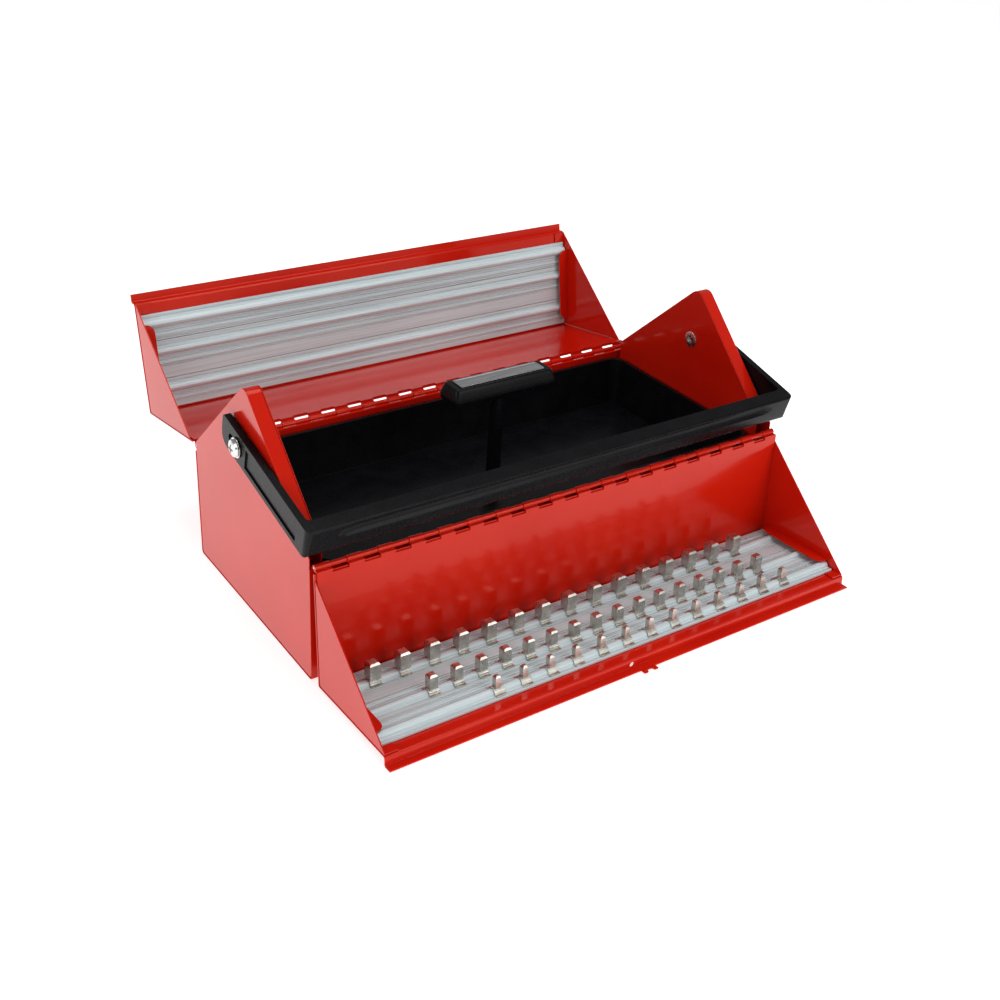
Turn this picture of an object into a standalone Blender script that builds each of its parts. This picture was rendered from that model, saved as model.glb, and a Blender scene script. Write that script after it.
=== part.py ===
"""Sheet steel tool box with two hinged lids, a carrying handle and a lift-out tray.

Metres, +Z up. X runs along the box, -Y is the front, and the origin is the centre of the
body's underside. Both lids are drawn closed and turned open about their hinge axes, and
the carrying handle is drawn upright and turned forward about its bolts.
"""

import math

import bmesh
import bpy

# --- driving dimensions -------------------------------------------------------------
LENGTH = 0.448
WIDTH = 0.200
SHEET = 0.001
GAP = 0.0003

HINGE_Z = 0.100
HINGE_OUT = 0.0028
FRONT_OPEN = math.radians(176.8)
REAR_OPEN = math.radians(99.8)

LID_HEIGHT = 0.098
LID_DEPTH = 0.0966
LIP_RISE = {"front": 0.0077, "rear": 0.0062}
LIP_REACH = 0.1030
BEND_RADIUS = 0.0025

GABLE_APEX_Z = 0.1975
GABLE_SLOPE = 0.93
GABLE_ROUND = 0.009
GABLE_FLANGE = 0.0116
LINER_X = (0.2109, 0.2117)
LINER_HALF = 0.094
LINER_FOOT = 0.052

KNUCKLE_PITCH = 0.0254
KNUCKLE_COUNT = 17
LID_BARREL = 0.0026
BODY_BARREL = 0.0020
PIN_BORE_RADIUS = 0.0015
PIN_RADIUS = 0.0012
LEAF_THICKNESS = 0.0009
LEAF_REACH = 0.0135
HINGE_HALF = 0.222

TAB_WIDTH = 0.0112
TAB_DROP = 0.0072
TAB_CORNER = 0.008
TAB_NEAR = 0.008
TAB_FAR = 0.079

RAIL_HALF = 0.2216
RAIL_BASE = 0.002
# name: (nearest the side panel, nearest the lip, bulge centre, bulge radius, ridge)
RAILS = {
    "small": (0.0628, 0.0860, 0.0775, 0.0038, 0.0670),
    "medium": (0.0290, 0.0623, 0.0529, 0.0034, 0.0427),
    "large": (0.0026, 0.0285, 0.0200, 0.0037, 0.0100),
}
CLIP_X = {"small": -0.120, "medium": -0.160, "large": -0.190}
CLIP_POST = {"small": (0.0048, 0.010), "medium": (0.0070, 0.012), "large": (0.0090, 0.014)}

BOLT_Z = 0.149
HANDLE_DOWN = math.radians(103.3)
HANDLE_REACH = 0.1130
HANDLE_TIP = 0.026
HANDLE_CORNER = 0.006
CHANNEL_DEPTH = 0.0012
CHANNEL_WIDTH = (-0.0085, 0.0085)
CHANNEL_SPAN = (0.014, 0.096)
HANDLE_HALF_WIDTH = 0.0125
HANDLE_OUTER = 0.2308
ARM_INNER = 0.2252
BAR_THICKNESS = 0.013
SLOT_TRAVEL = 0.010
SLOT_RADIUS = 0.0043
BUSH_RADIUS = 0.0040
BOLT_RADIUS = 0.0030
BOLT_BORE = 0.0033
NUT_RADIUS = 0.0049

TRAY_FLOOR_Z = 0.0501
TRAY_RIM_Z = 0.0955
TRAY_HALF_X = 0.2085
TRAY_HALF_Y = 0.0943
GRIP_TOP_Z = 0.158
LIP_HOLES = {"front": (-0.008,), "rear": (-0.008, 0.167)}
LIP_HOLE = {"front": (0.0038, 0.0022), "rear": (0.0031, 0.0015)}

HALF = LENGTH / 2
WALL = WIDTH / 2
PANEL_OUTER = HALF - 0.0004
PANEL_INNER = PANEL_OUTER - SHEET
INSET_Y = WALL - SHEET - GAP


# --- shape tools --------------------------------------------------------------------
def arc(centre, radius, start, end, steps):
    """Points on a circle from one angle to another, in degrees."""
    angles = [math.radians(start + (end - start) * i / steps) for i in range(steps + 1)]
    return [(centre[0] + radius * math.cos(a), centre[1] + radius * math.sin(a)) for a in angles]


def rounded(points, radius, steps=3):
    """An open path with each inner corner replaced by an arc."""
    path = [points[0]]
    for before, corner, after in zip(points, points[1:], points[2:]):
        to_before = (before[0] - corner[0], before[1] - corner[1])
        to_after = (after[0] - corner[0], after[1] - corner[1])
        len_before = math.hypot(*to_before)
        len_after = math.hypot(*to_after)
        unit_before = (to_before[0] / len_before, to_before[1] / len_before)
        unit_after = (to_after[0] / len_after, to_after[1] / len_after)
        dot = unit_before[0] * unit_after[0] + unit_before[1] * unit_after[1]
        half_angle = math.acos(max(-1.0, min(1.0, dot))) / 2
        back = radius / math.tan(half_angle)
        middle = (unit_before[0] + unit_after[0], unit_before[1] + unit_after[1])
        middle_length = math.hypot(*middle)
        out = radius / math.sin(half_angle) / middle_length
        centre = (corner[0] + middle[0] * out, corner[1] + middle[1] * out)
        first = (corner[0] + unit_before[0] * back, corner[1] + unit_before[1] * back)
        last = (corner[0] + unit_after[0] * back, corner[1] + unit_after[1] * back)
        start = math.atan2(first[1] - centre[1], first[0] - centre[0])
        turn = math.atan2(last[1] - centre[1], last[0] - centre[0]) - start
        turn = (turn + math.pi) % (2 * math.pi) - math.pi
        for i in range(steps + 1):
            a = start + turn * i / steps
            path.append((centre[0] + radius * math.cos(a), centre[1] + radius * math.sin(a)))
    path.append(points[-1])
    return path


def thickened(path, thickness):
    """The closed outline of a sheet: the path is one face, the other lies to its right."""
    other = []
    for i, point in enumerate(path):
        normals = []
        for a, b in ((i - 1, i), (i, i + 1)):
            if a < 0 or b >= len(path):
                continue
            dx = path[b][0] - path[a][0]
            dy = path[b][1] - path[a][1]
            length = math.hypot(dx, dy)
            normals.append((dy / length, -dx / length))
        nx = sum(n[0] for n in normals)
        ny = sum(n[1] for n in normals)
        size = math.hypot(nx, ny)
        nx, ny = nx / size, ny / size
        reach = thickness / (nx * normals[0][0] + ny * normals[0][1])
        other.append((point[0] + nx * reach, point[1] + ny * reach))
    return path + other[::-1]


def rounded_rectangle(half_x, half_y, radius, steps=3):
    """A closed outline, anticlockwise, with quarter-round corners."""
    cx, cy = half_x - radius, half_y - radius
    outline = []
    for sx, sy, start in ((1, 1, 0), (-1, 1, 90), (-1, -1, 180), (1, -1, 270)):
        outline += arc((sx * cx, sy * cy), radius, start, start + 90, steps)
    return outline


def loft(rings):
    """A closed mesh through rings of equal length, capped at both ends."""
    bm = bmesh.new()
    made = [[bm.verts.new(p) for p in ring] for ring in rings]
    for lower, upper in zip(made, made[1:]):
        for i in range(len(lower)):
            j = (i + 1) % len(lower)
            bm.faces.new((lower[i], lower[j], upper[j], upper[i]))
    bm.faces.new(made[0][::-1])
    bm.faces.new(made[-1])
    bmesh.ops.recalc_face_normals(bm, faces=bm.faces)
    return bm


def along_x(outline, low, high):
    """A YZ outline pushed from one X to another."""
    return loft([[(x, y, z) for y, z in outline] for x in (low, high)])


def turned_x(profile, y=0.0, z=0.0, sides=16):
    """A solid turned about a line along X; the profile is (x, radius) from end to end."""
    rings = []
    for x, radius in profile:
        circle = [2 * math.pi * (i + 0.5) / sides for i in range(sides)]
        rings.append([(x, y + radius * math.cos(a), z + radius * math.sin(a)) for a in circle])
    return loft(rings)


def turned_z(profile, sides=16):
    """A solid turned about the Z axis; the profile is (z, radius) from end to end."""
    rings = []
    for z, radius in profile:
        circle = [2 * math.pi * (i + 0.5) / sides for i in range(sides)]
        rings.append([(radius * math.cos(a), radius * math.sin(a), z) for a in circle])
    return loft(rings)


def boxes(spans):
    """One mesh of separate blocks, each ((x0, x1), (y0, y1), (z0, z1))."""
    bm = bmesh.new()
    for (x0, x1), (y0, y1), (z0, z1) in spans:
        made = bmesh.ops.create_cube(bm, size=1.0)["verts"]
        for v in made:
            v.co.x = x0 if v.co.x < 0 else x1
            v.co.y = y0 if v.co.y < 0 else y1
            v.co.z = z0 if v.co.z < 0 else z1
    return bm


# --- scene tools --------------------------------------------------------------------
def clear_scene():
    for obj in list(bpy.data.objects):
        bpy.data.objects.remove(obj, do_unlink=True)


def material(name, colour, roughness, metallic=0.0, coat=0.0):
    mat = bpy.data.materials.new(name)
    mat.use_nodes = True
    shader = mat.node_tree.nodes["Principled BSDF"]
    shader.inputs["Base Color"].default_value = (*colour, 1.0)
    shader.inputs["Roughness"].default_value = roughness
    shader.inputs["Metallic"].default_value = metallic
    shader.inputs["Coat Weight"].default_value = coat
    mat.diffuse_color = (*colour, 1.0)
    return mat


def piece(name, bm, mat, parent=None):
    mesh = bpy.data.meshes.new(name)
    bm.to_mesh(mesh)
    bm.free()
    obj = bpy.data.objects.new(name, mesh)
    bpy.context.scene.collection.objects.link(obj)
    if mat:
        mesh.materials.append(mat)
    mesh.shade_smooth()
    mesh.set_sharp_from_angle(angle=math.radians(35))
    obj.parent = parent
    return obj


def tool(name, bm, parent=None):
    """A hidden shape that only cuts or joins another piece."""
    obj = piece(name, bm, None, parent)
    obj.hide_render = True
    obj.display_type = "WIRE"
    return obj


def boolean(obj, other, operation):
    mod = obj.modifiers.new(operation.lower(), "BOOLEAN")
    mod.operation = operation
    mod.object = other
    mod.solver = "EXACT"
    return obj


def joint_empty(name, location, turn=0.0, parent=None):
    empty = bpy.data.objects.new(name, None)
    bpy.context.scene.collection.objects.link(empty)
    empty.location = location
    empty.rotation_euler = (turn, 0.0, 0.0)
    empty.parent = parent
    return empty


# --- the body -----------------------------------------------------------------------
def slope_path(reach):
    """The gable's roof line from the front to the back, with its peak rounded."""
    end = GABLE_APEX_Z - GABLE_SLOPE * reach
    return rounded([(-reach, end), (0.0, GABLE_APEX_Z), (reach, end)], GABLE_ROUND, 6)


def body_shell(red):
    """Front wall, floor and back wall bent from one sheet."""
    top = HINGE_Z - 0.0026
    path = rounded([(-WALL, top), (-WALL, 0.0), (WALL, 0.0), (WALL, top)], BEND_RADIUS)
    outline = thickened(path[::-1], SHEET)
    return piece("body_shell", along_x(outline, -HALF, HALF), red)


def end_panel(name, side, red):
    """An end wall that rises to a gable, with its roof line folded inwards."""
    lower = rounded([(0.0, SHEET + GAP), (INSET_Y, SHEET + GAP), (INSET_Y, 0.05)], 0.003)
    right = lower[1:-1]
    left = [(-y, z) for y, z in right[::-1]]
    outline = right + slope_path(INSET_Y)[::-1] + left
    plate = along_x(outline, side * PANEL_INNER, side * PANEL_OUTER)
    panel = piece(name, plate, red)
    fold = thickened(slope_path(0.093), SHEET)
    strip = along_x(fold, side * (PANEL_OUTER - GABLE_FLANGE), side * (PANEL_OUTER - 0.0002))
    boolean(panel, tool(name + "_fold", strip), "UNION")
    hole = turned_x([(side * 0.215, BOLT_BORE), (side * 0.230, BOLT_BORE)], z=BOLT_Z)
    return boolean(panel, tool(name + "_hole", hole), "DIFFERENCE")


def gable_liner(name, side, red):
    """An inner sheet that closes the gable and carries the pivot's sleeve nut."""
    roof = slope_path(LINER_HALF)
    outline = [(-LINER_HALF, LINER_FOOT), (LINER_HALF, LINER_FOOT)] + roof[::-1]
    liner = piece(name, along_x(outline, side * LINER_X[0], side * LINER_X[1]), red)
    reach = NUT_RADIUS + GAP
    hole = turned_x([(side * 0.205, reach), (side * 0.218, reach)], z=BOLT_Z)
    return boolean(liner, tool(name + "_hole", hole), "DIFFERENCE")


def tray_ledge(name, side, red):
    """An angle welded to the end wall, which the tray's floor rests on."""
    top = TRAY_FLOOR_Z - GAP
    outer = PANEL_INNER - GAP
    outline = [
        (outer, top), (0.198, top), (0.198, top - SHEET),
        (outer - SHEET, top - SHEET), (outer - SHEET, top - 0.020), (outer, top - 0.020),
    ]
    rings = [[(side * x, y, z) for x, z in outline] for y in (-0.080, 0.080)]
    return piece(name, loft(rings), red)


# --- the hinges ---------------------------------------------------------------------
def leaf(name, side, up, red, parent):
    """A hinge leaf: a strip on the panel's inner face, a step over its edge, and knuckles.

    The hinge axis is the origin. A lid's leaf steps over above the axis, the body's below.
    """
    across = HINGE_OUT + SHEET + GAP
    near, far = 0.0021 * up, 0.0012 * up
    outline = [
        (0.0, near), (-side * across, near), (-side * across, LEAF_REACH * up),
        (-side * (across + LEAF_THICKNESS), LEAF_REACH * up),
        (-side * (across + LEAF_THICKNESS), far), (0.0, far),
    ]
    strip = piece(name, along_x(outline, -HINGE_HALF, HINGE_HALF), red, parent)
    radius = LID_BARREL if up > 0 else BODY_BARREL
    barrel = turned_x([(-HINGE_HALF, radius), (HINGE_HALF, radius)], sides=12)
    boolean(strip, tool(name + "_barrel", barrel, parent), "UNION")
    bore = turned_x([(-0.23, PIN_BORE_RADIUS), (0.23, PIN_BORE_RADIUS)], sides=8)
    boolean(strip, tool(name + "_bore", bore, parent), "DIFFERENCE")
    places = [(i - (KNUCKLE_COUNT - 1) / 2) * KNUCKLE_PITCH for i in range(KNUCKLE_COUNT)]
    if up < 0:
        places = [x - KNUCKLE_PITCH / 2 for x in places] + [places[-1] + KNUCKLE_PITCH / 2]
    half = KNUCKLE_PITCH / 4 + GAP / 2
    far_side = 0.0056 if up > 0 else HINGE_OUT + 0.0001
    deep = sorted((side * 0.004, -side * far_side))
    spans = []
    for x in places:
        low, high = x - half, x + half
        if low < -0.205 and up < 0:
            low = -0.23
        if high > 0.205 and up < 0:
            high = 0.23
        spans.append(((low, high), deep, (-0.004, 0.004)))
    return boolean(strip, tool(name + "_slots", boxes(spans), parent), "DIFFERENCE")


def hinge_pin(name, steel, parent):
    rod = turned_x([(-HINGE_HALF, PIN_RADIUS), (HINGE_HALF, PIN_RADIUS)], sides=8)
    return piece(name, rod, steel, parent)


# --- the lids -----------------------------------------------------------------------
class Lid:
    """Places (across, high) points on a lid drawn closed.

    Across runs from the side panel's outer face to the middle of the box, and high runs up
    from the hinge axis, which is the lid's origin.
    """

    def __init__(self, label, side, open_turn):
        self.label = label
        self.side = side
        place = (0.0, side * (WALL + HINGE_OUT), HINGE_Z)
        self.empty = joint_empty(label + "_lid_hinge", place, -side * open_turn)

    def at(self, points):
        return [(-self.side * (across + HINGE_OUT), high) for across, high in points]

    def spans(self, across, high):
        return sorted(-self.side * (a + HINGE_OUT) for a in across), high


def lid_shell(lid, red):
    """Side panel, top panel and stepped lip bent from one sheet."""
    riser = LID_DEPTH - SHEET
    top = LID_HEIGHT + LIP_RISE[lid.label]
    corners = [(0.0, 0.0027), (0.0, LID_HEIGHT), (riser, LID_HEIGHT), (riser, top), (LIP_REACH, top)]
    outline = thickened(rounded(corners, 0.0016, 2), SHEET)
    shell = piece(lid.label + "_lid_shell", along_x(lid.at(outline), -HALF, HALF), red, lid.empty)
    above, radius = LIP_HOLE[lid.label]
    across, high = lid.spans((riser - 0.003, riser + 0.003), LID_HEIGHT + above)
    for place in LIP_HOLES[lid.label]:
        circle = arc((place, high), radius, 0, 324, 9)
        rings = [[(x, y, z) for x, z in circle] for y in across]
        cutter = tool(f"{lid.label}_lip_hole_{place}", loft(rings), lid.empty)
        boolean(shell, cutter, "DIFFERENCE")
    return shell


def lid_end(lid, name, side_x, red):
    """A triangular end wall, with a round-ended tab that holds the rails down and a corner tab."""
    inner = SHEET + GAP
    under = LID_HEIGHT - SHEET - GAP
    tip = LID_DEPTH - SHEET
    offset = HINGE_Z - 0.0022

    def roof(across):
        return GABLE_APEX_Z - GABLE_SLOPE * (WALL - across) - offset

    outline = [
        (inner, roof(inner)), (inner, under - 0.0014), (inner + 0.0014, under),
        (tip, under), (tip, roof(tip) + 0.0006),
    ]
    low, high = side_x * PANEL_INNER, side_x * PANEL_OUTER
    plate = piece(name, along_x(lid.at(outline), low, high), red, lid.empty)
    held = LID_HEIGHT - SHEET - TAB_DROP
    inward, edge = PANEL_OUTER - TAB_WIDTH, PANEL_OUTER - 0.0002
    near_end = arc((inward + TAB_CORNER, TAB_NEAR + TAB_CORNER), TAB_CORNER, 270, 180, 3)
    far_end = arc((inward + TAB_CORNER, TAB_FAR - TAB_CORNER), TAB_CORNER, 180, 90, 3)
    tab = [(edge, TAB_NEAR)] + near_end + far_end + [(edge, TAB_FAR)]
    rings = []
    for h in (held - SHEET, held):
        rings.append([(side_x * x, -lid.side * (a + HINGE_OUT), h) for x, a in tab])
    ends = sorted((side_x * inward, side_x * edge))
    boolean(plate, tool(name + "_tab", loft(rings), lid.empty), "UNION")
    across, _ = lid.spans((0.0866, tip - 0.0003), 0.0)
    corner_tab = boxes([(ends, across, (under - SHEET, under - 0.0001))])
    return boolean(plate, tool(name + "_corner", corner_tab, lid.empty), "UNION")


def rail_face(name):
    """The rail's outer face from lip side to hinge side, as (across, depth) from the panel."""
    near, far, bulge, radius, ridge = RAILS[name]
    base = GAP + RAIL_BASE
    shapes = {bulge: [(a, base + d) for a, d in arc((bulge, 0.0), radius, 0, 180, 6)]}
    steps = [(ridge, 0.0006, 0.0010)]
    for centre in (bulge + radius + 0.0020, bulge - radius - 0.0020, ridge + 0.0028, ridge - 0.0028):
        steps.append((centre, 0.0003, -0.0009))
    for centre, half, rise in steps:
        shapes[centre] = [
            (centre + half, base), (centre + half, base + rise),
            (centre - half, base + rise), (centre - half, base),
        ]
    face = [(far, base)]
    for centre in sorted(shapes, reverse=True):
        face += shapes[centre]
    return face + [(near, base)]


def socket_rail(lid, name, metal):
    """An extruded rail on the inside of the top panel, with a half-round for the clips."""
    near, far = RAILS[name][:2]
    outline = [(near, GAP), (far, GAP)] + rail_face(name)
    under = LID_HEIGHT - SHEET
    points = lid.at([(a, under - d) for a, d in outline])
    rail = along_x(points, -RAIL_HALF, RAIL_HALF)
    return piece(f"{lid.label}_rail_{name}", rail, metal, lid.empty)


def socket_clip(lid, name, spring):
    """A spring clip snapped over the rail's half-round, with the square post a socket fits."""
    bulge, radius = RAILS[name][2:4]
    base = GAP + RAIL_BASE + GAP
    reach = radius + GAP
    foot = [(bulge + reach + 0.0030, base)]
    foot += [(a, base + d) for a, d in arc((bulge, 0.0), reach, 0, 180, 6)]
    foot += [(bulge - reach - 0.0030, base)]
    outline = thickened([(a, d) for a, d in foot], 0.0006)
    under = LID_HEIGHT - SHEET
    points = lid.at([(a, under - d) for a, d in outline])
    place = CLIP_X[name]
    saddle = along_x(points, place - 0.0045, place + 0.0045)
    clip = piece("socket_clip_" + name, saddle, spring, lid.empty)
    size, tall = CLIP_POST[name]
    crown = base + reach
    levels = [
        (crown + 0.0002, size / 2), (crown + tall - 0.0015, size / 2),
        (crown + tall, size / 2 - 0.0012),
    ]
    rings = []
    for depth, half in levels:
        square = [(-half, -half), (half, -half), (half, half), (-half, half)]
        rings.append([
            (place + x, -lid.side * (bulge + a + HINGE_OUT), under - depth) for x, a in square
        ])
    return boolean(clip, tool("clip_post_" + name, loft(rings), lid.empty), "UNION")


def hasp_tongue(lid, red):
    """A two-pronged tongue on the edge of the front lip, which lies over the rear lip."""
    top = LID_HEIGHT + LIP_RISE[lid.label]
    start, middle, end = LIP_REACH + GAP, LIP_REACH + 0.0018, LIP_REACH + 0.0045
    outline = [
        (-0.0040, start), (0.0100, start), (0.0100, end), (0.0060, end),
        (0.0052, middle), (0.0008, middle), (0.0000, end), (-0.0040, end),
    ]
    rings = []
    for h in (top - SHEET, top):
        rings.append([(x, -lid.side * (a + HINGE_OUT), h) for x, a in outline])
    return piece("hasp_tongue", loft(rings), red, lid.empty)


# --- the carrying handle ------------------------------------------------------------
def handle_plan():
    """The bail seen along its width: two arms and a bar, as (x, reach from the bolts)."""
    inner_bar = HANDLE_REACH - BAR_THICKNESS
    bend = HANDLE_CORNER
    outer = arc((HANDLE_OUTER - bend, HANDLE_REACH - bend), bend, 0, 90, 5)
    bend = HANDLE_CORNER / 2
    inner = arc((ARM_INNER - bend, inner_bar - bend), bend, 90, 0, 3)
    right = [(HANDLE_OUTER, -HANDLE_TIP - 0.002)] + outer
    inside = inner + [(ARM_INNER, -HANDLE_TIP - 0.002)]
    left = [(-x, z) for x, z in right[::-1]]
    inside_left = [(-x, z) for x, z in inside[::-1]]
    return right + left + inside_left + inside


def handle_side():
    """The bail seen from its end: the arm's width and rounded tip, as (y, z)."""
    wide = HANDLE_HALF_WIDTH
    crown = arc((wide - 0.0015, HANDLE_REACH - 0.0015), 0.0015, 90, 0, 2)
    upper_tip = arc((wide - 0.003, 0.003 - HANDLE_TIP), 0.003, 0, -90, 3)
    lower_tip = arc((0.010 - wide, 0.010 - HANDLE_TIP), 0.010, -90, -180, 4)
    heel = arc((0.006 - wide, HANDLE_REACH - 0.006), 0.006, 180, 90, 3)
    return crown + upper_tip + lower_tip + heel


def carrying_handle(black, slide):
    plan = handle_plan()
    deep = HANDLE_HALF_WIDTH + 0.001
    rings = [[(x, y, z) for x, z in plan] for y in (-deep, deep)]
    handle = piece("carrying_handle", loft(rings), black, slide)
    side = tool("handle_side", along_x(handle_side(), -0.24, 0.24), slide)
    boolean(handle, side, "INTERSECT")
    groove = []
    radius = 0.0059
    for x, lift in ((-0.212, 0.0068), (-0.200, 0.0030), (-0.188, 0.0024),
                    (0.188, 0.0024), (0.200, 0.0030), (0.212, 0.0068)):
        circle = [2 * math.pi * i / 14 for i in range(14)]
        centre = HANDLE_REACH + lift
        groove.append([(x, 0.0062 + radius * math.cos(a), centre + radius * math.sin(a)) for a in circle])
    boolean(handle, tool("handle_groove", loft(groove), slide), "DIFFERENCE")
    for side_x in (-1, 1):
        face = sorted((side_x * (HANDLE_OUTER - CHANNEL_DEPTH), side_x * (HANDLE_OUTER + 0.001)))
        channel = boxes([(face, CHANNEL_WIDTH, CHANNEL_SPAN)])
        boolean(handle, tool(f"handle_channel_{side_x}", channel, slide), "DIFFERENCE")
        ends = arc((0.0, 0.0), SLOT_RADIUS, 0, 180, 6)
        ends += arc((0.0, -SLOT_TRAVEL), SLOT_RADIUS, 180, 360, 6)
        slot = along_x(ends, side_x * 0.222, side_x * 0.236)
        boolean(handle, tool(f"handle_slot_{side_x}", slot, slide), "DIFFERENCE")
    return handle


def pivot_set(name, side, chrome, zinc, nylon, swing):
    """One pivot: bolt, washer, spacer and sleeve nut, and the bush the handle turns on."""

    def hollow(label, profile, bore, mat, parent, height):
        ring = piece(f"{name}_{label}", turned_x([(side * x, r) for x, r in profile], z=height), mat, parent)
        ends = [side * (profile[0][0] - 0.01), side * (profile[-1][0] + 0.01)]
        cutter = turned_x([(x, bore) for x in ends], z=height)
        return boolean(ring, tool(f"{name}_{label}_bore", cutter, parent), "DIFFERENCE")

    hollow("pivot_bush", [(0.2252, BUSH_RADIUS), (0.2311, BUSH_RADIUS)], BOLT_BORE, nylon, swing, 0.0)
    hollow("pivot_spacer", [(0.2239, 0.008), (0.2249, 0.008)], BOLT_BORE, zinc, None, BOLT_Z)
    hollow("pivot_washer", [(0.2314, 0.0080), (0.2322, 0.0080)], BOLT_BORE, zinc, None, BOLT_Z)
    sleeve = [
        (0.2096, 0.0060), (0.2099, 0.0070), (0.2106, 0.0070), (0.2106, NUT_RADIUS),
        (0.2222, NUT_RADIUS),
    ]
    hollow("pivot_nut", sleeve, BOLT_BORE, zinc, None, BOLT_Z)
    head = [
        (0.2112, 0.0024), (0.2120, BOLT_RADIUS), (0.2325, BOLT_RADIUS), (0.2325, 0.0068),
        (0.2334, 0.0072), (0.2346, 0.0064), (0.2355, 0.0045), (0.2359, 0.0018),
    ]
    bolt = piece(name + "_pivot_bolt", turned_x([(side * x, r) for x, r in head], z=BOLT_Z), chrome)
    arms = []
    for half_y, half_z in ((0.0036, 0.0008), (0.0008, 0.0036)):
        across = sorted((side * 0.2342, side * 0.237))
        arms.append((across, (-half_y, half_y), (BOLT_Z - half_z, BOLT_Z + half_z)))
    for i, span in enumerate(arms):
        boolean(bolt, tool(f"{name}_recess_{i}", boxes([span])), "DIFFERENCE")


# --- the tray -----------------------------------------------------------------------
def tray(black, lift):
    """A moulded open tray with drafted walls and a beaded rim."""
    levels = [
        (0.2020, 0.0870, 0.008, TRAY_FLOOR_Z), (0.2062, 0.0923, 0.011, TRAY_RIM_Z - 0.0045),
        (TRAY_HALF_X, TRAY_HALF_Y, 0.0125, TRAY_RIM_Z - 0.0035),
        (TRAY_HALF_X, TRAY_HALF_Y, 0.0125, TRAY_RIM_Z - 0.0003),
        (0.2045, 0.0906, 0.0095, TRAY_RIM_Z), (0.1995, 0.0845, 0.006, TRAY_FLOOR_Z + 0.0029),
    ]
    rings = []
    for half_x, half_y, radius, z in levels:
        ring = rounded_rectangle(half_x, half_y, radius)
        rings.append([(x, y, z - TRAY_FLOOR_Z) for x, y in ring])
    shell = piece("tray", loft(rings), black, lift)
    hole = turned_z([(-0.01, 0.0026), (0.01, 0.0026)], 10)
    return boolean(shell, tool("tray_hole", hole, lift), "DIFFERENCE")


def tray_handle(black, silver, zinc, lift):
    """Post, grip, its plain plate and the screw from under the floor."""
    floor = 0.0029 + GAP
    grip_low = GRIP_TOP_Z - 0.0165 - TRAY_FLOOR_Z
    grip_top = GRIP_TOP_Z - TRAY_FLOOR_Z
    profile = [(floor, 0.0140), (floor + 0.0025, 0.0140), (floor + 0.006, 0.0075),
               (floor + 0.012, 0.0062), (grip_low - GAP, 0.0058)]
    post = piece("tray_post", turned_z(profile, 16), black, lift)
    bore = turned_z([(0.0, 0.0026), (floor + 0.022, 0.0026)], 10)
    boolean(post, tool("tray_post_bore", bore, lift), "DIFFERENCE")
    screw = [(-0.0022, 0.0035), (-0.0014, 0.0048), (-GAP, 0.0048), (-GAP, 0.0022), (floor + 0.020, 0.0022)]
    piece("tray_post_screw", turned_z(screw, 10), zinc, lift)
    levels = [
        (0.0465, 0.0100, 0.003, grip_low), (0.0495, 0.0128, 0.004, grip_low + 0.0035),
        (0.0500, 0.0132, 0.004, grip_low + 0.0080), (0.0478, 0.0108, 0.004, grip_top - 0.0012),
        (0.0466, 0.0096, 0.003, grip_top),
    ]
    rings = [[(x, y, z) for x, y in rounded_rectangle(a, b, r)] for a, b, r, z in levels]
    piece("tray_grip", loft(rings), black, lift)
    rings = []
    for half_x, half_y, z in ((0.0410, 0.0072, GAP), (0.0410, 0.0072, 0.0009), (0.0396, 0.0058, 0.0009),
                              (0.0396, 0.0058, 0.0006)):
        ring = rounded_rectangle(half_x, half_y, 0.001, 1)
        rings.append([(x, y, grip_top + z) for x, y in ring])
    piece("tray_grip_plate", loft(rings), silver, lift)


# --- assembly -----------------------------------------------------------------------
def build():
    clear_scene()
    red = material("red_enamel", (0.58, 0.015, 0.008), 0.22, coat=0.6)
    rail_metal = material("rail_aluminium", (0.62, 0.64, 0.65), 0.35, metallic=1.0)
    black = material("black_plastic", (0.012, 0.012, 0.014), 0.38)
    chrome = material("chromed_bolt", (0.75, 0.75, 0.74), 0.12, metallic=1.0)
    zinc = material("zinc_hardware", (0.55, 0.55, 0.53), 0.35, metallic=1.0)
    spring = material("spring_steel", (0.55, 0.50, 0.40), 0.30, metallic=1.0)
    nylon = material("bush_nylon", (0.55, 0.53, 0.48), 0.45)
    silver = material("plate_silver", (0.60, 0.61, 0.62), 0.30, metallic=1.0)

    body_shell(red)
    for label, side_x in (("left", -1), ("right", 1)):
        end_panel(label + "_end_panel", side_x, red)
        gable_liner(label + "_gable_liner", side_x, red)
        tray_ledge("tray_ledge_" + label, side_x, red)

    for label, side, turn in (("front", -1, FRONT_OPEN), ("rear", 1, REAR_OPEN)):
        lid = Lid(label, side, turn)
        fixed = joint_empty(label + "_hinge_line", (0.0, side * (WALL + HINGE_OUT), HINGE_Z))
        leaf(label + "_hinge_body_leaf", side, -1, red, fixed)
        leaf(label + "_hinge_lid_leaf", side, 1, red, lid.empty)
        hinge_pin(label + "_hinge_pin", zinc, fixed)
        lid_shell(lid, red)
        for end, side_x in (("left", -1), ("right", 1)):
            lid_end(lid, f"{label}_lid_{end}_end", side_x, red)
        for name in RAILS:
            socket_rail(lid, name, rail_metal)
        if label == "front":
            hasp_tongue(lid, red)
            for name in RAILS:
                socket_clip(lid, name, spring)

    swing = joint_empty("handle_swing", (0.0, 0.0, BOLT_Z), HANDLE_DOWN)
    carrying_handle(black, swing)
    for label, side_x in (("left", -1), ("right", 1)):
        pivot_set(label, side_x, chrome, zinc, nylon, swing)

    lift = joint_empty("tray_lift", (0.0, 0.0, TRAY_FLOOR_Z))
    tray(black, lift)
    tray_handle(black, silver, zinc, lift)


build()
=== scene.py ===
import math

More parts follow.
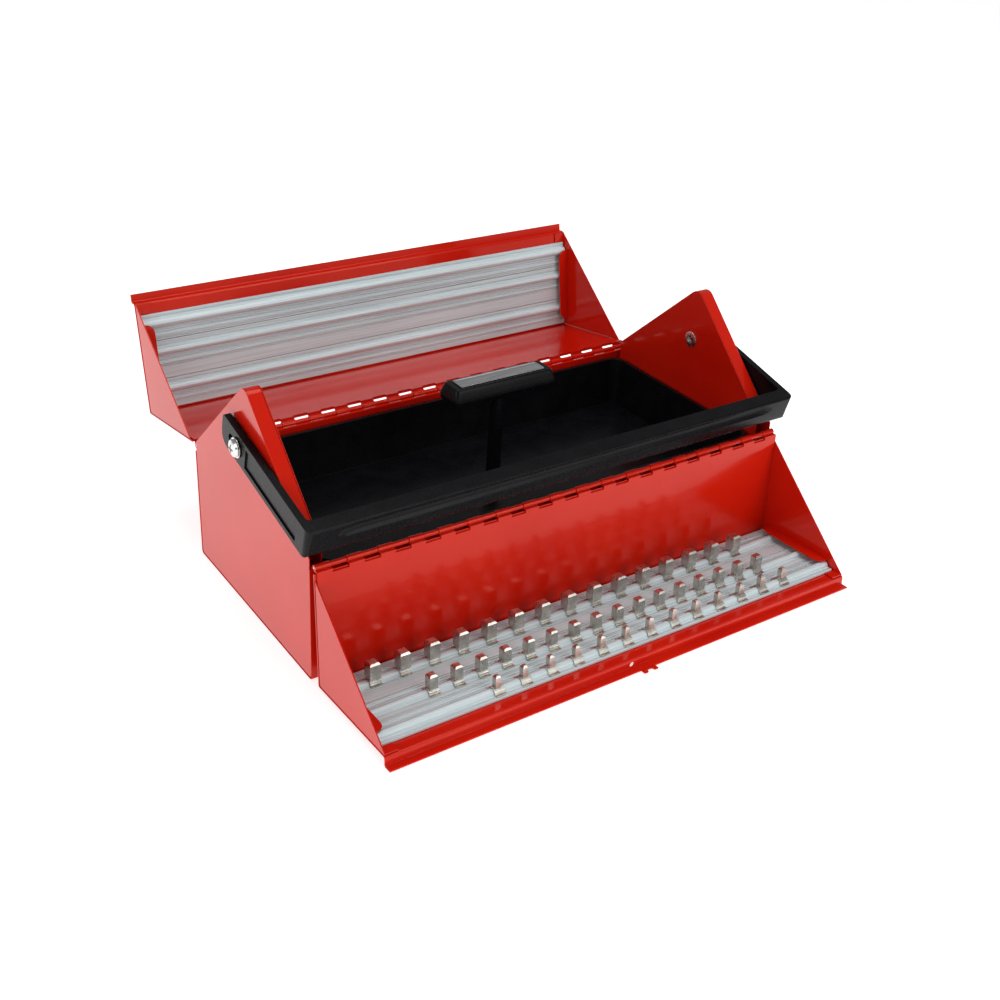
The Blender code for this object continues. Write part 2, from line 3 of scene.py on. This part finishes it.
import bmesh
import bpy
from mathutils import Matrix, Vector


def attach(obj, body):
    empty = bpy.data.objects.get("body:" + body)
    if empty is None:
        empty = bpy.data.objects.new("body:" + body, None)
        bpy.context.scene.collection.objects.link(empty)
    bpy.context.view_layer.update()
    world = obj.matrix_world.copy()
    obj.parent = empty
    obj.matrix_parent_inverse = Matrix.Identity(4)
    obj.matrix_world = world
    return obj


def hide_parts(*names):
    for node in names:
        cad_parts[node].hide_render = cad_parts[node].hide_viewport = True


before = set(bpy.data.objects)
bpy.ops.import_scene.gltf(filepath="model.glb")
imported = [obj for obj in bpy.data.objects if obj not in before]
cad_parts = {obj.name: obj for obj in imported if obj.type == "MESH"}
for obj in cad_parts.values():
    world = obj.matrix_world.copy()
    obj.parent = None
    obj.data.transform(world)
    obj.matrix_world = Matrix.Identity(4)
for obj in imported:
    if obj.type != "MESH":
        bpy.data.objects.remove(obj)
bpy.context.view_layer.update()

# The view and the room: a pale lit floor that carries on far past the box, large soft lights
# on the left, in front and overhead, and a camera standing off the box's front left corner.
camera = bpy.data.objects.new("camera", bpy.data.cameras.new("camera"))
bpy.context.scene.collection.objects.link(camera)
camera.location = (-0.5614, -0.7785, 0.5997)
camera.rotation_euler = (math.radians(59.7047), math.radians(-3.3511), math.radians(-34.3018))
camera.data.lens = 46.39
camera.data.sensor_width = 36.0
camera.data.clip_start = 0.01
bpy.context.scene.camera = camera
bpy.context.scene.view_settings.view_transform = "Standard"

room = bpy.data.worlds.new("white_room")
bpy.context.scene.world = room
room.use_nodes = True
room.node_tree.nodes["Background"].inputs["Color"].default_value = (1.0, 1.0, 1.0, 1.0)
room.node_tree.nodes["Background"].inputs["Strength"].default_value = 0.30


def soft_light(name, place, aim, width, height, watts):
    light = bpy.data.lights.new(name, "AREA")
    light.shape = "RECTANGLE"
    light.size, light.size_y, light.energy = width, height, watts
    lamp = bpy.data.objects.new(name, light)
    bpy.context.scene.collection.objects.link(lamp)
    lamp.location = place
    lamp.rotation_euler = (Vector(aim) - Vector(place)).to_track_quat("-Z", "Y").to_euler()


soft_light("left_softbox", (-2.2, -0.5, 1.2), (0.0, 0.0, 0.1), 1.8, 1.8, 17.0)
soft_light("top_softbox", (0.3, 0.2, 2.4), (0.0, 0.0, 0.0), 2.0, 1.2, 22.0)
soft_light("front_softbox", (0.7, -2.1, 1.1), (0.0, 0.0, 0.1), 1.4, 1.4, 20.0)

floor_mesh = bmesh.new()
bmesh.ops.create_grid(floor_mesh, x_segments=2, y_segments=2, size=40.0)
bmesh.ops.translate(floor_mesh, verts=floor_mesh.verts, vec=(0.0, 0.0, -0.0006))
floor = bpy.data.objects.new("floor", bpy.data.meshes.new("floor"))
floor_mesh.to_mesh(floor.data)
bpy.context.scene.collection.objects.link(floor)


def new_material(name):
    """A Principled material and its node tree."""
    mat = bpy.data.materials.new(name)
    mat.use_nodes = True
    return mat, mat.node_tree, mat.node_tree.nodes["Principled BSDF"]


def add_noise(tree, scale, detail=2.0, stretch=(1.0, 1.0, 1.0)):
    """Noise on Object coordinates, drawn out along the axes whose stretch is small."""
    place = tree.nodes.new("ShaderNodeTexCoord")
    mapping = tree.nodes.new("ShaderNodeMapping")
    mapping.inputs["Scale"].default_value = stretch
    noise = tree.nodes.new("ShaderNodeTexNoise")
    noise.inputs["Scale"].default_value = scale
    noise.inputs["Detail"].default_value = detail
    tree.links.new(place.outputs["Object"], mapping.inputs["Vector"])
    tree.links.new(mapping.outputs["Vector"], noise.inputs["Vector"])
    return noise.outputs["Fac"]


def vary_colour(tree, shader, factor, dark, light, low=0.35, high=0.65):
    ramp = tree.nodes.new("ShaderNodeValToRGB")
    ramp.color_ramp.elements[0].position = low
    ramp.color_ramp.elements[1].position = high
    ramp.color_ramp.elements[0].color = (*dark, 1.0)
    ramp.color_ramp.elements[1].color = (*light, 1.0)
    tree.links.new(factor, ramp.inputs["Fac"])
    tree.links.new(ramp.outputs["Color"], shader.inputs["Base Color"])


def vary_roughness(tree, shader, factor, low, high):
    spread = tree.nodes.new("ShaderNodeMapRange")
    spread.inputs["From Min"].default_value = 0.3
    spread.inputs["From Max"].default_value = 0.7
    spread.inputs["To Min"].default_value = low
    spread.inputs["To Max"].default_value = high
    tree.links.new(factor, spread.inputs["Value"])
    tree.links.new(spread.outputs["Result"], shader.inputs["Roughness"])


def raise_bumps(tree, shader, factor, strength, distance):
    bump = tree.nodes.new("ShaderNodeBump")
    bump.inputs["Strength"].default_value = strength
    bump.inputs["Distance"].default_value = distance
    tree.links.new(factor, bump.inputs["Height"])
    tree.links.new(bump.outputs["Normal"], shader.inputs["Normal"])


paper, tree, shader = new_material("pale_floor")
vary_colour(tree, shader, add_noise(tree, 1.5), (0.90, 0.90, 0.90), (0.93, 0.93, 0.93))
shader.inputs["Roughness"].default_value = 0.9
shader.inputs["Emission Color"].default_value = (1.0, 1.0, 1.0, 1.0)
shader.inputs["Emission Strength"].default_value = 0.66
floor.data.materials.append(paper)

# Pressed sheet: floor, walls, gabled ends and the tray's ledges, cut from 1 mm steel, bent with
# a small radius at each fold, spot welded and then dipped and stoved in glossy red enamel.
# The enamel pools a little, so it has a fine orange-peel skin and slow changes of gloss.
enamel, tree, shader = new_material("red_enamel")
vary_colour(tree, shader, add_noise(tree, 9.0), (0.540, 0.008, 0.002), (0.590, 0.012, 0.003))
vary_roughness(tree, shader, add_noise(tree, 26.0, 4.0), 0.13, 0.19)
raise_bumps(tree, shader, add_noise(tree, 520.0, 1.0), 0.06, 0.00020)
shader.inputs["Specular IOR Level"].default_value = 0.55
shader.inputs["Specular Tint"].default_value = (1.0, 0.27, 0.18, 1.0)
shader.inputs["Coat Weight"].default_value = 0.12
shader.inputs["Coat Roughness"].default_value = 0.03


def finish_node(node, body, mat, ease, segments=2, limit=28.0):
    """Stands a finished piece in for a CAD node, with its sharp edges eased."""
    mesh = bmesh.new()
    mesh.from_mesh(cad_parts[node].data)
    same_point = 0.00002
    flat = math.radians(0.6)
    bmesh.ops.remove_doubles(mesh, verts=mesh.verts, dist=same_point)
    bmesh.ops.dissolve_limit(mesh, angle_limit=flat, verts=mesh.verts, edges=mesh.edges)
    made = bpy.data.objects.new("finished_" + node, bpy.data.meshes.new("finished_" + node))
    mesh.to_mesh(made.data)
    mesh.free()
    bpy.context.scene.collection.objects.link(made)
    made.data.materials.clear()
    made.data.materials.append(mat)
    made.data.shade_smooth()
    if ease > 0.0:
        bevel = made.modifiers.new("eased_edges", "BEVEL")
        bevel.width = ease
        bevel.segments = segments
        bevel.limit_method = "ANGLE"
        bevel.angle_limit = math.radians(limit)
        bevel.use_clamp_overlap = True
        bevel.miter_outer = "MITER_ARC"
        even = made.modifiers.new("flat_panels", "WEIGHTED_NORMAL")
        even.weight = 100
        even.keep_sharp = True
    else:
        made.data.set_sharp_from_angle(angle=math.radians(limit))
    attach(made, body)
    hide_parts(node)
    return made


sheet_edge = 0.00036
for node in (
    "body_shell", "left_end_panel", "right_end_panel", "left_gable_liner", "right_gable_liner",
    "tray_ledge_left", "tray_ledge_right",
):
    finish_node(node, "body", enamel, sheet_edge)

# Lids: each is a side panel, a top panel and a stepped lip bent from one sheet, with two
# triangular ends welded in. They take the same enamel as the body.
lid_edge = 0.00030
end_edge = 0.00008
for label in ("front", "rear"):
    finish_node(label + "_lid_shell", label + "_lid", enamel, lid_edge)
    for end in ("left", "right"):
        finish_node(f"{label}_lid_{end}_end", label + "_lid", enamel, end_edge, 1)
finish_node("hasp_tongue", "front_lid", enamel, lid_edge)

# Piano hinges: steel strips with rolled knuckles, welded inside the walls and the lids and
# enamelled with them. The plain steel pin runs the whole length.
zinc, tree, shader = new_material("zinc_plate")
shader.inputs["Metallic"].default_value = 1.0
vary_colour(tree, shader, add_noise(tree, 60.0), (0.66, 0.66, 0.64), (0.78, 0.78, 0.75))
vary_roughness(tree, shader, add_noise(tree, 240.0, 3.0), 0.18, 0.30)
raise_bumps(tree, shader, add_noise(tree, 900.0), 0.12, 0.00008)

leaf_edge = 0.00018
for label in ("front", "rear"):
    finish_node(label + "_hinge_body_leaf", "body", enamel, leaf_edge, 1, 40.0)
    finish_node(label + "_hinge_lid_leaf", label + "_lid", enamel, leaf_edge, 1, 40.0)
    finish_node(label + "_hinge_pin", "body", zinc, 0.0)

# Socket rails: aluminium extrusions laid side by side inside each lid's top panel. The die
# leaves fine lines along their length, and the metal is left bare.
rail_metal, tree, shader = new_material("drawn_aluminium")
shader.inputs["Metallic"].default_value = 0.20
die_lines = add_noise(tree, 900.0, 3.0, (0.012, 1.0, 1.0))
vary_colour(tree, shader, die_lines, (0.53, 0.60, 0.62), (0.64, 0.72, 0.74))
vary_roughness(tree, shader, add_noise(tree, 700.0, 2.0, (0.02, 1.0, 1.0)), 0.46, 0.58)
raise_bumps(tree, shader, die_lines, 0.18, 0.00006)
shader.inputs["Anisotropic"].default_value = 0.4

for label in ("front", "rear"):
    for size in ("small", "medium", "large"):
        finish_node(f"{label}_rail_{size}", label + "_lid", rail_metal, 0.00025)

# Socket clips: stamped from spring strip, folded over the half-round of a rail, with a square
# post that the socket's drive fits. The three that slide are finished first.
spring, tree, shader = new_material("spring_strip")
shader.inputs["Metallic"].default_value = 1.0
vary_colour(tree, shader, add_noise(tree, 150.0), (0.46, 0.44, 0.39), (0.62, 0.60, 0.55))
vary_roughness(tree, shader, add_noise(tree, 400.0, 2.0), 0.24, 0.38)
raise_bumps(tree, shader, add_noise(tree, 800.0), 0.10, 0.00005)

for size in ("small", "medium", "large"):
    finish_node(f"socket_clip_{size}", f"clip_{size}", spring, 0.00020)

# The other clips stay where they are put. A node tree sets a copy of each finished clip at even
# steps along its rail, leaving room for the sliding one to travel.
# size: (clips in the row, step along the rail)
clip_rows = {"small": (12, 0.0240), "medium": (15, 0.0215), "large": (14, 0.0255)}


def clip_row_tree(size, pattern):
    """A row of like clips along X, with the count and step as named inputs."""
    group = bpy.data.node_groups.new(f"clips_along_{size}_rail", "GeometryNodeTree")
    named = group.interface
    named.new_socket("Geometry", in_out="INPUT", socket_type="NodeSocketGeometry")
    named.new_socket("Clips", in_out="INPUT", socket_type="NodeSocketInt")
    named.new_socket("Step", in_out="INPUT", socket_type="NodeSocketFloat")
    named.new_socket("Metal", in_out="INPUT", socket_type="NodeSocketMaterial")
    named.new_socket("Geometry", in_out="OUTPUT", socket_type="NodeSocketGeometry")
    enter = group.nodes.new("NodeGroupInput")
    leave = group.nodes.new("NodeGroupOutput")
    apart = group.nodes.new("ShaderNodeCombineXYZ")
    row = group.nodes.new("GeometryNodeMeshLine")
    one_clip = group.nodes.new("GeometryNodeObjectInfo")
    one_clip.inputs["Object"].default_value = pattern
    place = group.nodes.new("GeometryNodeInstanceOnPoints")
    real = group.nodes.new("GeometryNodeRealizeInstances")
    metal = group.nodes.new("GeometryNodeSetMaterial")
    link = group.links.new
    link(enter.outputs["Step"], apart.inputs["X"])
    link(apart.outputs["Vector"], row.inputs["Offset"])
    link(apart.outputs["Vector"], row.inputs["Start Location"])
    link(enter.outputs["Clips"], row.inputs["Count"])
    link(row.outputs["Mesh"], place.inputs["Points"])
    link(one_clip.outputs["Geometry"], place.inputs["Instance"])
    link(place.outputs["Instances"], real.inputs["Geometry"])
    link(real.outputs["Geometry"], metal.inputs["Geometry"])
    link(enter.outputs["Metal"], metal.inputs["Material"])
    link(metal.outputs["Geometry"], leave.inputs["Geometry"])
    return group


for size, (count, step) in clip_rows.items():
    pattern = bpy.data.objects["finished_socket_clip_" + size]
    row = bpy.data.objects.new("clips_" + size, bpy.data.meshes.new("clips_" + size))
    bpy.context.scene.collection.objects.link(row)
    maker = row.modifiers.new("clips", "NODES")
    maker.node_group = clip_row_tree(size, pattern)
    sockets = {
        item.name: item.identifier
        for item in maker.node_group.interface.items_tree if item.in_out == "INPUT"
    }
    maker[sockets["Clips"]] = count
    maker[sockets["Step"]] = step
    maker[sockets["Metal"]] = spring
    bpy.context.view_layer.update()
    evaluated = row.evaluated_get(bpy.context.evaluated_depsgraph_get())
    finished = bpy.data.meshes.new_from_object(evaluated)
    row.modifiers.remove(maker)
    row.data = finished
    row.data.shade_smooth()
    row.data.set_sharp_from_angle(angle=math.radians(35))
    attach(row, "front_lid")

# Carrying handle: one black moulding, a bar between two arms. A scoop runs along the bar's
# outer face and each arm has a slot that lets the handle slide on its bush.
black, tree, shader = new_material("black_moulding")
vary_colour(tree, shader, add_noise(tree, 60.0), (0.003, 0.003, 0.004), (0.005, 0.005, 0.006))
vary_roughness(tree, shader, add_noise(tree, 260.0, 3.0), 0.24, 0.31)
raise_bumps(tree, shader, add_noise(tree, 1400.0, 2.0), 0.05, 0.00004)
shader.inputs["Specular IOR Level"].default_value = 0.11
finish_node("carrying_handle", "handle", black, 0.0007, 3, 32.0)

nylon, tree, shader = new_material("natural_nylon")
vary_colour(tree, shader, add_noise(tree, 90.0), (0.50, 0.48, 0.42), (0.58, 0.56, 0.51))
vary_roughness(tree, shader, add_noise(tree, 300.0), 0.38, 0.52)

# Pivots: a chromed cross-recessed bolt through each gable, a nylon bush that the handle turns
# and slides on, and zinc-plated washers and nut.
chrome, tree, shader = new_material("polished_chrome")
shader.inputs["Metallic"].default_value = 1.0
vary_colour(tree, shader, add_noise(tree, 200.0), (0.66, 0.66, 0.65), (0.74, 0.74, 0.73))
vary_roughness(tree, shader, add_noise(tree, 350.0, 2.0), 0.08, 0.18)
for end in ("left", "right"):
    finish_node(end + "_pivot_bolt", "body", chrome, 0.00018)
    finish_node(end + "_pivot_bush", "handle_pivots", nylon, 0.00020)
    for part in ("spacer", "washer", "nut"):
        finish_node(f"{end}_pivot_{part}", "body", zinc, 0.00015)

# Lift-out tray: black moulding with drafted walls, and a post with a loaf-shaped grip held by
# one screw from below. The grip carries a plain framed plate.
for node, rounding in (("tray", 0.0005), ("tray_post", 0.0006), ("tray_grip", 0.0006)):
    finish_node(node, "tray", black, rounding, 2, 40.0)
finish_node("tray_post_screw", "tray", zinc, 0.00015)
plate, tree, shader = new_material("satin_plate")
shader.inputs["Metallic"].default_value = 1.0
along_grip = (0.05, 1.0, 1.0)
brushing = add_noise(tree, 500.0, 2.0, along_grip)
vary_colour(tree, shader, brushing, (0.42, 0.43, 0.44), (0.56, 0.57, 0.58))
vary_roughness(tree, shader, add_noise(tree, 300.0, 2.0, along_grip), 0.28, 0.42)
finish_node("tray_grip_plate", "tray", plate, 0.00010)
